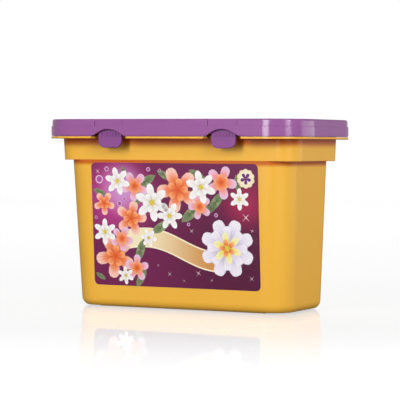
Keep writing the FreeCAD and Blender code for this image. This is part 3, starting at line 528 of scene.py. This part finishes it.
# White flowers of six pointed petals, in front of the coral ones.
six = flat_bloom(6, (0.34, 0.60, 0.84, 0.98, 1.05, 0.98, 0.84, 0.60))
white = [(-49, -5, 8, 0), (-15, 14, 11.5, 8), (-3, 6, 8.5, 30), (19, 24, 10, 12),
         (45, 17, 6.5, 0), (-39, 27, 8.5, 15), (-35, -32, 5.5, 5), (-18, -8, 5.5, 20)]
scatter("label_white_petals", six, white, 6, white_ink)
inner = [(across, up, size * 0.55, turn + 30) for across, up, size, turn in white]
scatter("label_white_inner", six, inner, 7, white_ink)

# The big blossom: rings of white, lemon and orange petals.
eight = flat_bloom(8, (0.62, 0.82, 0.95, 1.0, 1.0, 1.0, 0.95, 0.82))
scatter("label_blossom", eight, [(36, -13, 18, 0)], 3, blossom_ink)
scatter("label_blossom_middle", eight, [(36, -13, 13.5, 22)], 4, blossom_ink)
scatter("label_blossom_lemon", six, [(36, -13, 9.5, 10)], 5, lemon_ink)
scatter("label_blossom_orange", five, [(36, -13, 5.5, 0)], 6, orange_ink)

# Hearts: yellow discs with dark anthers.
heart_ink, tree, shader = printed("heart_ink")
place = add(tree, "TexCoord")
dots = add(tree, "TexVoronoi", Scale=1700.0)
join(tree, (place.outputs["Object"], dots.inputs["Vector"]))
anthers = ease(tree, dots.outputs["Distance"], 0.40, 0.20)
colour = blend(tree, anthers, linear(232, 206, 74), linear(96, 92, 40))
join(tree, (colour, shader.inputs["Base Color"]))
disc = flat_bloom(9, (0.86, 1.0, 0.86))
hearts = [(across, up, size * 0.19, 0) for across, up, size, turn in white]
scatter("label_hearts", disc, hearts + [(36, -13, 2.0, 0)], 8, heart_ink)

# A scalloped cream badge with one small plum blossom on it.
cream_ink = petal_ink("cream_ink", 10, linear(250, 244, 226), linear(246, 238, 214),
                      linear(238, 222, 182), linear(240, 228, 196))
badge = flat_bloom(10, (0.88, 0.97, 1.0, 0.97))
scatter("label_badge", badge, [(49.5, 29.5, 6.0, 0)], 6, cream_ink)
plum_ink = petal_ink("plum_ink", 5, linear(126, 54, 130), linear(112, 44, 118),
                     linear(96, 34, 104), linear(112, 44, 118))
scatter("label_badge_sign", five, [(49.5, 29.5, 3.6, 18)], 8, plum_ink)

# Sparkles and bubbles: small white stars, and pale rings where the glow is.
star = flat_bloom(4, (0.10, 0.16, 1.0, 0.16))
star_ink, tree, shader = printed("star_ink")
place = add(tree, "TexCoord")
grain = add(tree, "TexNoise", Scale=400.0)
join(tree, (place.outputs["Object"], grain.inputs["Vector"]))
colour = blend(tree, grain.outputs["Fac"], linear(250, 236, 240), linear(236, 206, 226))
join(tree, (colour, shader.inputs["Base Color"]))
scatter("label_sparkles", star, [
    (49, 6, 3.4, 0), (53, -2, 1.6, 20), (12, -3, 2.0, 0), (16, -29, 2.4, 10), (-4, -30, 1.8, 0),
    (6, -34, 1.3, 15), (52, -31, 2.2, 0), (25, -33, 1.5, 0), (-53, 33, 2.0, 0), (-12, -25, 1.2, 0),
], 9, star_ink)
bubble_ink, tree, shader = printed("bubble_ink", 0.2)
place = add(tree, "TexCoord")
centred = add(tree, "VectorMath", operation="SUBTRACT")
centred.inputs[1].default_value = (0.5, 0.5, 0)
radius = add(tree, "VectorMath", operation="LENGTH")
join(tree, (place.outputs["UV"], centred.inputs[0]), (centred.outputs["Vector"], radius.inputs[0]))
ring = ease(tree, radius.outputs["Value"], 0.30, 0.47)
colour = blend(tree, ring, linear(176, 84, 158), linear(236, 208, 236))
join(tree, (colour, shader.inputs["Base Color"]))
bubble = flat_bloom(8, (1.0, 1.0, 1.0))
scatter("label_bubbles", bubble, [
    (-52, 28, 2.6, 0), (-46.5, 34.5, 1.5, 0), (-17, 34.5, 1.3, 0), (-55, 4, 1.0, 0),
    (-38, 13, 1.6, 0), (-34.5, 16, 0.9, 0), (-9, 34, 0.9, 0), (10, 1, 1.1, 0), (29, 7, 1.2, 0),
], 8, bubble_ink)
for pattern in (ribbon, leaf, five, six, eight, disc, badge, star, bubble):
    bpy.data.objects.remove(pattern)


# The pods: twenty pouches of clear film that dissolves, heat sealed all round. A pearly cushion
# fills each, and two crescents of gel, yellow and orange, lie on it side by side.
def gel(name, colour, deep, roughness=0.14):
    """Coloured gel under taut film: cloudy in its depth, with a few folds in the film."""
    material, tree, shader = printed(name, roughness)
    skin = add(tree, "Group", node_tree=moulded)
    skin.inputs["Peel Scale"].default_value = 160.0
    skin.inputs["Cloud Scale"].default_value = 90.0
    bump = add(tree, "Bump", Distance=0.0002)
    colour = blend(tree, ease(tree, skin.outputs["Cloud"], 0.35, 0.65), colour, deep)
    join(
        tree,
        (colour, shader.inputs["Base Color"]),
        (skin.outputs["Height"], bump.inputs["Height"]),
        (bump.outputs["Normal"], shader.inputs["Normal"]),
    )
    shader.inputs["Transmission Weight"].default_value = 0.2
    return material


def cushion(half_wide, half_long, low, high, corner, lean, soft, material):
    """A block of film with round upright corners. Its far end leans in and is rounded."""
    bpy.ops.mesh.primitive_cube_add(size=2, location=(0, 0, (low + high) / 2))
    bpy.context.object.scale = (half_wide, half_long, abs(high - low) / 2)
    bpy.ops.object.transform_apply(location=True, rotation=False, scale=True)
    block = bpy.context.object
    choose("EDGE", lambda edge: span(edge, 2) > 1e-6)
    bpy.ops.mesh.bevel(offset=corner, segments=7)
    if lean:
        choose("VERT", lambda point: abs(point.co.z - high) < 1e-6)
        ratio = (1 - lean / half_wide, 1 - lean / half_long, 1)
        bpy.ops.transform.resize(value=ratio, center_override=(0, 0, high))
        bpy.ops.mesh.bevel(offset=soft, segments=4)
    bpy.ops.object.mode_set(mode="OBJECT")
    bpy.ops.object.shade_smooth()
    block.data.materials.append(material)
    return block


def crescent(turn, material):
    """A crescent of gel: a long drop, bent, that lies on the cushion to one side of its middle."""
    bpy.ops.mesh.primitive_uv_sphere_add(segments=28, ring_count=16, radius=1)
    drop = bpy.context.object
    drop.scale = (0.0138, 0.0052, 0.0046)
    bpy.ops.object.transform_apply(location=False, rotation=False, scale=True)
    for method, axis, setting, amount in (
        ("TAPER", "X", "factor", -0.35), ("BEND", "Z", "angle", math.radians(105)),
    ):
        shape = drop.modifiers.new(method, "SIMPLE_DEFORM")
        shape.deform_method = method
        shape.deform_axis = axis
        setattr(shape, setting, amount)
        bpy.ops.object.modifier_apply(modifier=shape.name)
    drop.location = (0.0010 * math.cos(turn), 0.0075 * math.cos(turn), 0.0058)
    drop.rotation_euler = (0, 0, turn)
    bpy.ops.object.transform_apply(location=True, rotation=True, scale=False)
    bpy.ops.object.shade_smooth()
    drop.data.materials.append(material)
    return drop


SEAM_THICK = 0.0006
LOW_CUSHION = 0.325
film_clear = gel("pod_seam_film", linear(242, 240, 245), linear(251, 250, 252), 0.3)
film_pearl = gel("pod_pearl", linear(250, 248, 251), linear(236, 231, 243), 0.2)
gel_yellow = gel("pod_yellow_gel", linear(244, 190, 40), linear(232, 160, 22))
gel_orange = gel("pod_orange_gel", linear(236, 112, 34), linear(214, 84, 26))
pouch = [
    cushion(0.0218, 0.0198, 0.0, SEAM_THICK, 0.0108, 0, 0, film_clear),
    cushion(0.0196, 0.0176, 0.0003, -0.0048, 0.0095, 0.0052, 0.0024, film_pearl),
    cushion(0.0196, 0.0176, 0.0003, 0.0066, 0.0095, 0.0040, 0.0030, film_pearl),
    crescent(0.0, gel_yellow),
    crescent(math.pi, gel_orange),
]
for part in pouch:
    part.select_set(True)
bpy.ops.object.join()
first_pod = bpy.context.object


def pod_pose(name):
    """How a pod lies, read from its solid: its thin axis is the one that most of its surface
    faces, its wide one is the longer of the other two, and its low cushion is its back."""
    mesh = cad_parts[name].data
    facing = numpy.zeros((3, 3))
    for face in mesh.polygons:
        facing += face.area * numpy.outer(face.normal, face.normal)
    axes = numpy.linalg.eigh(facing)[1].T
    points = numpy.array([tuple(point.co) for point in mesh.vertices])

    def reach(axis):
        along = points @ axis
        return along.min(), along.max()

    thick = axes[2]
    wide = max(axes[:2], key=lambda axis: reach(axis)[1] - reach(axis)[0])
    low, high = reach(thick)
    rim = thick @ points[(points @ wide).argmax()]
    if rim - low > high - rim:
        thick, low, high = -thick, -high, -low
    length = numpy.cross(thick, wide)
    seam = low + LOW_CUSHION * (high - low - SEAM_THICK)
    spot = sum(reach(wide)) / 2 * wide + sum(reach(length)) / 2 * length + seam * thick
    return Matrix(numpy.array((wide, length, thick)).T.tolist()).to_4x4(), Vector(spot)


for number in range(1, 21):
    turned, spot = pod_pose("pod_%02d" % number)
    bpy.ops.object.select_all(action="DESELECT")
    first_pod.select_set(True)
    bpy.context.view_layer.objects.active = first_pod
    bpy.ops.object.duplicate(linked=False)
    pod = bpy.context.object
    pod.name = "gel_pod_%02d" % number
    pod.matrix_world = Matrix.Translation(spot) @ turned
    bpy.ops.object.transform_apply(location=True, rotation=True, scale=True)
    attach(pod, "tub")
    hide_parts("pod_%02d" % number)
bpy.data.objects.remove(first_pod)


# The photographer's table and backdrop: white gloss acrylic that runs out to white, with a
# faint mirror image under the tub that fades towards the viewer, and a soft shadow where it
# stands.
# It mirrors more at a low angle, up to MIRROR_SHARE, and less from FADE_START to FADE_END in
# metres towards the viewer. Its own glow makes up what it doesn't mirror, so it stays white:
# WHITE_BARE where it mirrors nothing and WHITE_MIRRORED where it mirrors most.
MIRROR_SHARE = 0.93
FADE_START, FADE_END = 0.05, 0.42
WHITE_BARE, WHITE_MIRRORED = 0.80, 0.615


def flat_light(tree, strength):
    light = add(tree, "Emission")
    light.inputs["Color"].default_value = (1, 1, 1, 1)
    light.inputs["Strength"].default_value = strength
    return light


bpy.ops.mesh.primitive_plane_add(size=12, location=(0, 0, -0.00005))
table = bpy.context.object
table.name = "table"
acrylic = bpy.data.materials.new("white_acrylic")
acrylic.use_nodes = True
tree = acrylic.node_tree
tree.nodes.remove(tree.nodes["Principled BSDF"])
out = tree.nodes["Material Output"]
matt = add(tree, "BsdfDiffuse")
matt.inputs["Color"].default_value = (0.25, 0.25, 0.25, 1)
glow = flat_light(tree, 1.0)
both = add(tree, "AddShader")
mirror = add(tree, "BsdfGlossy")
mirror.inputs["Roughness"].default_value = 0.035
seen = add(tree, "MixShader")
grazing = add(tree, "Fresnel", IOR=1.4)
share = add(tree, "Math", operation="MINIMUM")
share.inputs[1].default_value = MIRROR_SHARE
place = add(tree, "TexCoord")
nearer = add(tree, "VectorMath", operation="DOT_PRODUCT")
nearer.inputs[1].default_value = (math.sin(swing), -math.cos(swing), 0)
join(tree, (place.outputs["Object"], nearer.inputs[0]))
fade = add(tree, "Math", operation="MULTIPLY")
left_over = add(tree, "Math", operation="SUBTRACT")
left_over.inputs[0].default_value = 1.0
level = add(tree, "Math", operation="DIVIDE")
plain = add(tree, "BsdfDiffuse")
plain.inputs["Color"].default_value = (0.23, 0.23, 0.23, 1)
rays = add(tree, "LightPath")
pick = add(tree, "MixShader")
join(
    tree,
    (matt.outputs[0], both.inputs[0]),
    (glow.outputs[0], both.inputs[1]),
    (grazing.outputs["Fac"], share.inputs[0]),
    (share.outputs["Value"], fade.inputs[0]),
    (ease(tree, nearer.outputs["Value"], FADE_START, FADE_END, 1.0, 0.0), fade.inputs[1]),
    (fade.outputs["Value"], seen.inputs[0]),
    (fade.outputs["Value"], left_over.inputs[1]),
    (ease(tree, fade.outputs["Value"], 0.0, 0.6, WHITE_BARE, WHITE_MIRRORED), level.inputs[0]),
    (left_over.outputs["Value"], level.inputs[1]),
    (level.outputs["Value"], glow.inputs["Strength"]),
    (both.outputs[0], seen.inputs[1]),
    (mirror.outputs[0], seen.inputs[2]),
    (rays.outputs["Is Camera Ray"], pick.inputs[0]),
    (plain.outputs[0], pick.inputs[1]),
    (seen.outputs[0], pick.inputs[2]),
    (pick.outputs[0], out.inputs["Surface"]),
)
table.data.materials.append(acrylic)

# The studio round it: white where the camera sees it, a soft even light on everything, and in
# glossy plastic a pale band low down that is dimmer higher up.
STUDIO_LOW, STUDIO_HIGH = 0.55, 0.25
world = bpy.data.worlds.new("studio")
bpy.context.scene.world = world
world.use_nodes = True
tree = world.node_tree
soft = tree.nodes["Background"]
soft.inputs["Color"].default_value = (1, 1, 1, 1)
soft.inputs["Strength"].default_value = 0.20
rays = add(tree, "LightPath")
direction = add(tree, "TexCoord")
height = add(tree, "SeparateXYZ")
join(tree, (direction.outputs["Generated"], height.inputs[0]))
low_band = ease(tree, height.outputs["Z"], 0.16, 0.30, STUDIO_LOW, STUDIO_HIGH)
horizon = add(tree, "Background")
horizon.inputs["Color"].default_value = (1, 1, 1, 1)
white = add(tree, "Background")
white.inputs["Color"].default_value = (1, 1, 1, 1)
white.inputs["Strength"].default_value = 1.0
mirrored = add(tree, "MixShader")
pick = add(tree, "MixShader")
join(
    tree,
    (low_band, horizon.inputs["Strength"]),
    (rays.outputs["Is Glossy Ray"], mirrored.inputs[0]),
    (soft.outputs[0], mirrored.inputs[1]),
    (horizon.outputs[0], mirrored.inputs[2]),
    (rays.outputs["Is Camera Ray"], pick.inputs[0]),
    (mirrored.outputs[0], pick.inputs[1]),
    (white.outputs[0], pick.inputs[2]),
    (pick.outputs[0], tree.nodes["World Output"].inputs["Surface"]),
)


# The lamps: a big soft box above and to the left of the camera, a lower one on its right, and
# a wide one far round to the right. A low strip under that one shows as a pale band on the
# lid's corner, and a weak box behind the tub keeps its back from going dark.
def soft_box(name, azimuth, elevation, away, wide, high, watts):
    """A soft box round the tub. Azimuth 0 is in front of the tub and 90 to its right."""
    turn, rise = math.radians(azimuth), math.radians(elevation)
    level = math.cos(rise)
    spot = Vector((math.sin(turn) * level, -math.cos(turn) * level, math.sin(rise)))
    bpy.ops.object.light_add(type="AREA", location=look_at + away * spot)
    lamp = bpy.context.object
    lamp.name = name
    lamp.rotation_euler = spot.to_track_quat("Z", "Y").to_euler()
    lamp.data.shape = "RECTANGLE"
    lamp.data.size, lamp.data.size_y = wide, high
    lamp.data.energy = watts
    return lamp


soft_box("key", -11, 17, 1.6, 0.4, 0.9, 16)
soft_box("side", 52, 16, 1.7, 0.4, 0.8, 13)
soft_box("far_strip", 119, 2.2, 1.8, 1.75, 0.23, 3.5)
far_side = soft_box("far_side", 116, 16, 1.8, 1.65, 1.0, 9)
back_fill = soft_box("back_fill", 215, 32, 1.8, 1.4, 1.0, 12)
for lamp in (far_side, back_fill):
    lamp.visible_glossy = False
